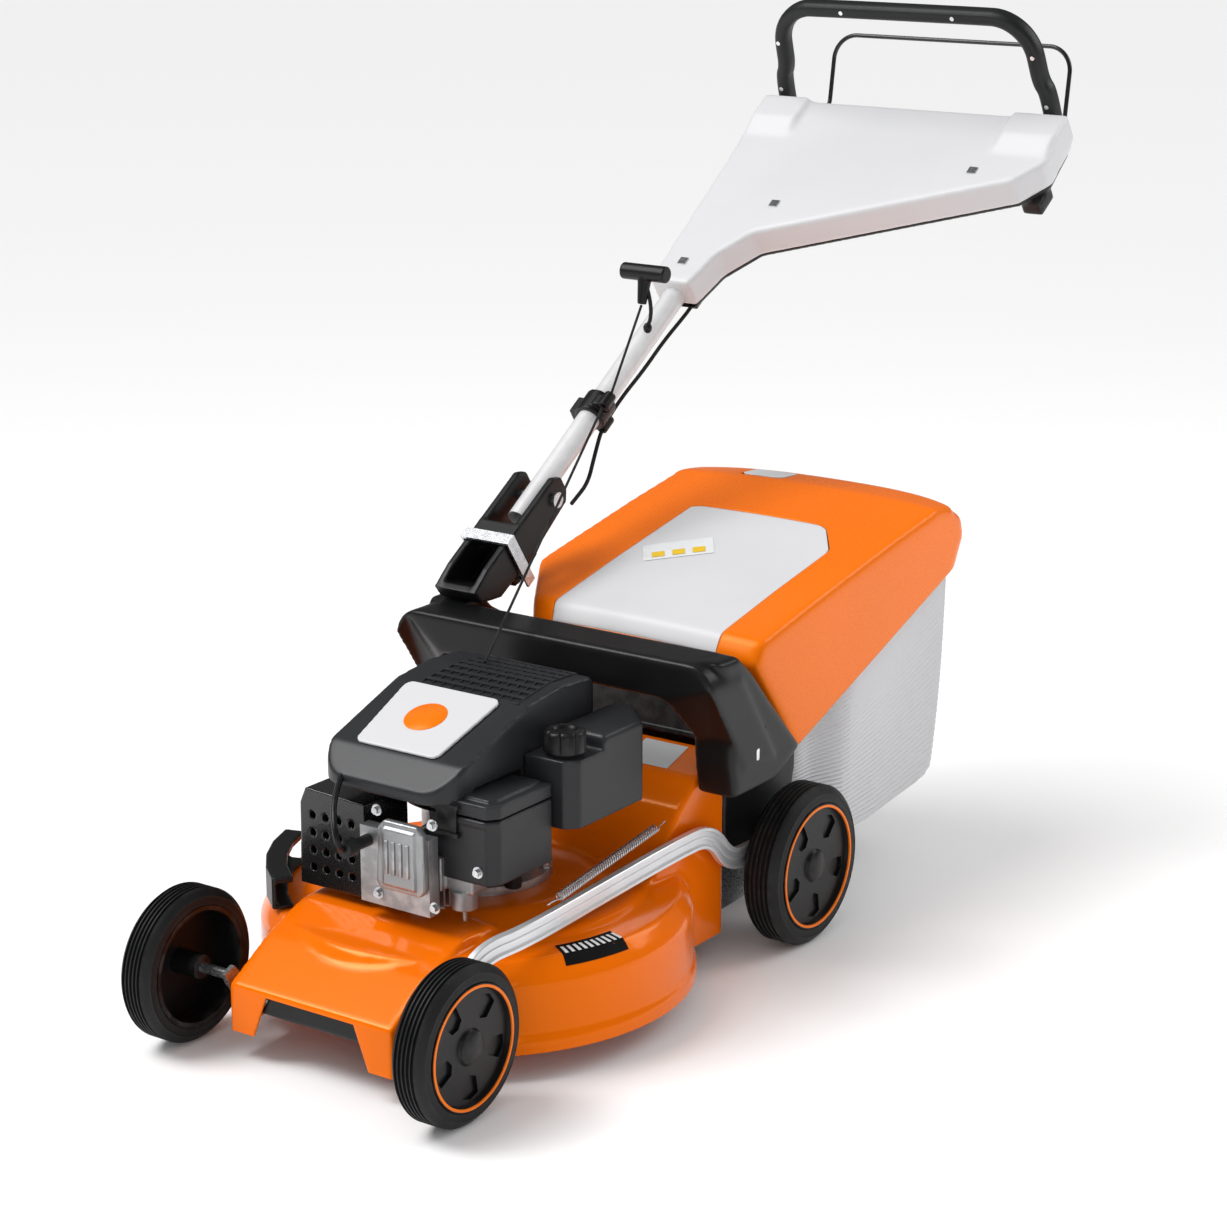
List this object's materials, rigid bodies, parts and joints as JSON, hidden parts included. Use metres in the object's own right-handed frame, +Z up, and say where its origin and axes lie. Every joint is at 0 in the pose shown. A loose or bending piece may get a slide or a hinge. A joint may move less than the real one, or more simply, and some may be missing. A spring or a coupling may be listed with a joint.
{
  "type": "push lawn mower",
  "caption": "Walk-behind rotary lawn mower with a petrol engine, a single-tube folding handlebar, central height adjustment and a rear grass catcher.",
  "frame": {"origin": "on the ground, straight below the blade shaft", "axes": "+Z up, the mower's front is -Y and its left side is +X"},
  "size_m": [0.514, 1.4628, 1.0938],
  "materials": {
    "orange_steel": "gloss",
    "black_plastic": "satin",
    "dark_plastic": "satin",
    "white_plastic": "satin",
    "orange_plastic": "gloss",
    "tyre_rubber": "matte",
    "grip_rubber": "matte",
    "cast_aluminium": "cast",
    "silver_tube": "satin",
    "zinc_steel": "zinc",
    "black_steel": "satin",
    "dark_iron": "machined",
    "rope": "braided"
  },
  "bodies": {
    "chassis": {"deck": "orange_steel", "nose_bar": "black_plastic", "axle_brackets": "zinc_steel", "rear_casing": "black_plastic", "side_shield": "black_plastic", "handle_console": "black_plastic", "pivot_bolt": "zinc_steel", "clamp_strap": "zinc_steel", "crankcase": "cast_aluminium", "crank_bearings": "zinc_steel", "cylinder": "cast_aluminium", "piston": "cast_aluminium", "valve_cover": "cast_aluminium", "spark_plug": "grip_rubber", "muffler": "black_steel", "muffler_guard": "black_steel", "fuel_tank": "dark_plastic", "air_filter_box": "dark_plastic", "carburettor": "cast_aluminium", "engine_shroud": "dark_plastic", "engine_badge": "white_plastic", "height_spring": "zinc_steel", "starter_rope_lower": "rope"},
    "front_axle": {"front_axle": "zinc_steel"},
    "rear_axle": {"rear_axle": "zinc_steel"},
    "height_link": {"height_link": "zinc_steel"},
    "front_left_wheel": {"front_left_tyre": "tyre_rubber", "front_left_wheel": "black_plastic"},
    "front_right_wheel": {"front_right_tyre": "tyre_rubber", "front_right_wheel": "black_plastic"},
    "rear_left_wheel": {"rear_left_tyre": "tyre_rubber", "rear_left_wheel": "black_plastic"},
    "rear_right_wheel": {"rear_right_tyre": "tyre_rubber", "rear_right_wheel": "black_plastic"},
    "blade_shaft": {"crankshaft": "dark_iron", "flywheel": "dark_iron", "blade_adapter": "dark_iron", "blade_bolt": "zinc_steel", "blade": "black_steel"},
    "starter_reel": {"starter_reel": "dark_plastic"},
    "flywheel_brake": {"flywheel_brake": "black_steel"},
    "fuel_cap": {"fuel_cap": "black_plastic"},
    "oil_cap": {"oil_cap": "black_plastic"},
    "air_filter_cover": {"air_filter_cover": "dark_plastic"},
    "handle": {"handle_tube": "silver_tube", "rope_guide": "black_plastic", "cover_top": "white_plastic", "cover_bottom": "black_plastic", "grip_loop": "grip_rubber", "cover_clips": "zinc_steel", "stop_cable": "rope", "starter_rope_upper": "rope"},
    "clamp_lever": {"clamp_lever": "black_plastic"},
    "bail": {"bail": "black_steel"},
    "starter_grip": {"starter_grip": "black_plastic"},
    "catcher": {"hood": "orange_plastic", "hood_insert": "white_plastic", "bag_box": "white_plastic"},
    "level_flap": {"level_flap": "white_plastic"},
    "discharge_flap": {"discharge_flap": "black_plastic"}
  },
  "joints": [
    {"name": "front_axle_turn", "type": "hinge", "parent": "chassis", "child": "front_axle", "pos_m": [0, -0.26586, 0.06242], "axis": [1, 0, 0], "range_deg": [0, 60]},
    {"name": "rear_axle_turn", "type": "hinge", "parent": "chassis", "child": "rear_axle", "pos_m": [0, 0.38774, 0.07242], "axis": [1, 0, 0], "range_deg": [0, 60]},
    {"name": "link_swing", "type": "hinge", "parent": "front_axle", "child": "height_link", "pos_m": [0.16, -0.24705, 0.1141], "axis": [1, 0, 0], "range_deg": [-60, 0], "deforming": ["height_spring"]},
    {"name": "front_left_spin", "type": "hinge", "parent": "front_axle", "child": "front_left_wheel", "pos_m": [0.19, -0.289, 0.09], "axis": [1, 0, 0], "continuous": true},
    {"name": "front_right_spin", "type": "hinge", "parent": "front_axle", "child": "front_right_wheel", "pos_m": [-0.19, -0.289, 0.09], "axis": [1, 0, 0], "continuous": true},
    {"name": "rear_left_spin", "type": "hinge", "parent": "rear_axle", "child": "rear_left_wheel", "pos_m": [0.21, 0.3646, 0.1], "axis": [1, 0, 0], "continuous": true},
    {"name": "rear_right_spin", "type": "hinge", "parent": "rear_axle", "child": "rear_right_wheel", "pos_m": [-0.21, 0.3646, 0.1], "axis": [1, 0, 0], "continuous": true},
    {"name": "blade_spin", "type": "hinge", "parent": "chassis", "child": "blade_shaft", "pos_m": [0, 0, 0.1], "axis": [0, 0, 1], "continuous": true},
    {"name": "starter_pull", "type": "slide", "parent": "handle", "child": "starter_grip", "axis": [-0.0602, 0.6082, 0.7915], "range_m": [0, 0.5], "stiffness_N_per_m": 20, "springref_m": -0.2, "deforming": ["starter_rope_upper"]},
    {"name": "reel_turn", "type": "hinge", "parent": "chassis", "child": "starter_reel", "pos_m": [0, 0, 0.32], "axis": [0, 0, 1], "range_deg": [0, 956]},
    {"name": "handle_fold", "type": "hinge", "parent": "chassis", "child": "handle", "pos_m": [-0.18, 0.358, 0.508], "axis": [1, 0, 0], "range_deg": [0, 120], "deforming": ["starter_rope_lower"]},
    {"name": "clamp_open", "type": "hinge", "parent": "chassis", "child": "clamp_lever", "pos_m": [-0.18, 0.29858, 0.41726], "axis": [1, 0, 0], "range_deg": [-35, 0]},
    {"name": "bail_pull", "type": "hinge", "parent": "handle", "child": "bail", "pos_m": [0, 1.01413, 0.90955], "axis": [1, 0, 0], "range_deg": [0, 42], "stiffness_Nm_per_rad": 1.2, "springref_deg": -28.65},
    {"name": "brake_swing", "type": "hinge", "parent": "chassis", "child": "flywheel_brake", "pos_m": [-0.1, 0.056, 0.262], "axis": [0, 0, 1], "range_deg": [-6, 0]},
    {"name": "fuel_cap_turn", "type": "hinge", "parent": "chassis", "child": "fuel_cap", "pos_m": [0.142, -0.02, 0.34], "axis": [0, 0, 1], "range_deg": [0, 90]},
    {"name": "oil_cap_turn", "type": "hinge", "parent": "chassis", "child": "oil_cap", "pos_m": [0.084, -0.042, 0.18], "axis": [0, 0, 1], "range_deg": [0, 90]},
    {"name": "filter_cover_off", "type": "slide", "parent": "chassis", "child": "air_filter_cover", "axis": [1, 0, 0], "range_m": [0, 0.06]},
    {"name": "catcher_lift", "type": "slide", "parent": "chassis", "child": "catcher", "axis": [0, 0.94, 0.3412], "range_m": [0, 0.35]},
    {"name": "level_flap_rise", "type": "hinge", "parent": "catcher", "child": "level_flap", "pos_m": [-0.077, 0.724, 0.4735], "axis": [1, 0, 0], "range_deg": [0, 25]},
    {"name": "flap_lift", "type": "hinge", "parent": "chassis", "child": "discharge_flap", "pos_m": [0, 0.268, 0.272], "axis": [1, 0, 0], "range_deg": [0, 15], "stiffness_Nm_per_rad": 0.5, "springref_deg": -57.3}
  ],
  "couplings": [
    {"joint": "rear_axle_turn", "follows": "front_axle_turn", "ratio": 1},
    {"joint": "link_swing", "follows": "front_axle_turn", "ratio": -1},
    {"joint": "reel_turn", "follows": "starter_pull", "rad_per_m": 33.333},
    {"joint": "brake_swing", "follows": "bail_pull", "ratio": -0.14}
  ]
}
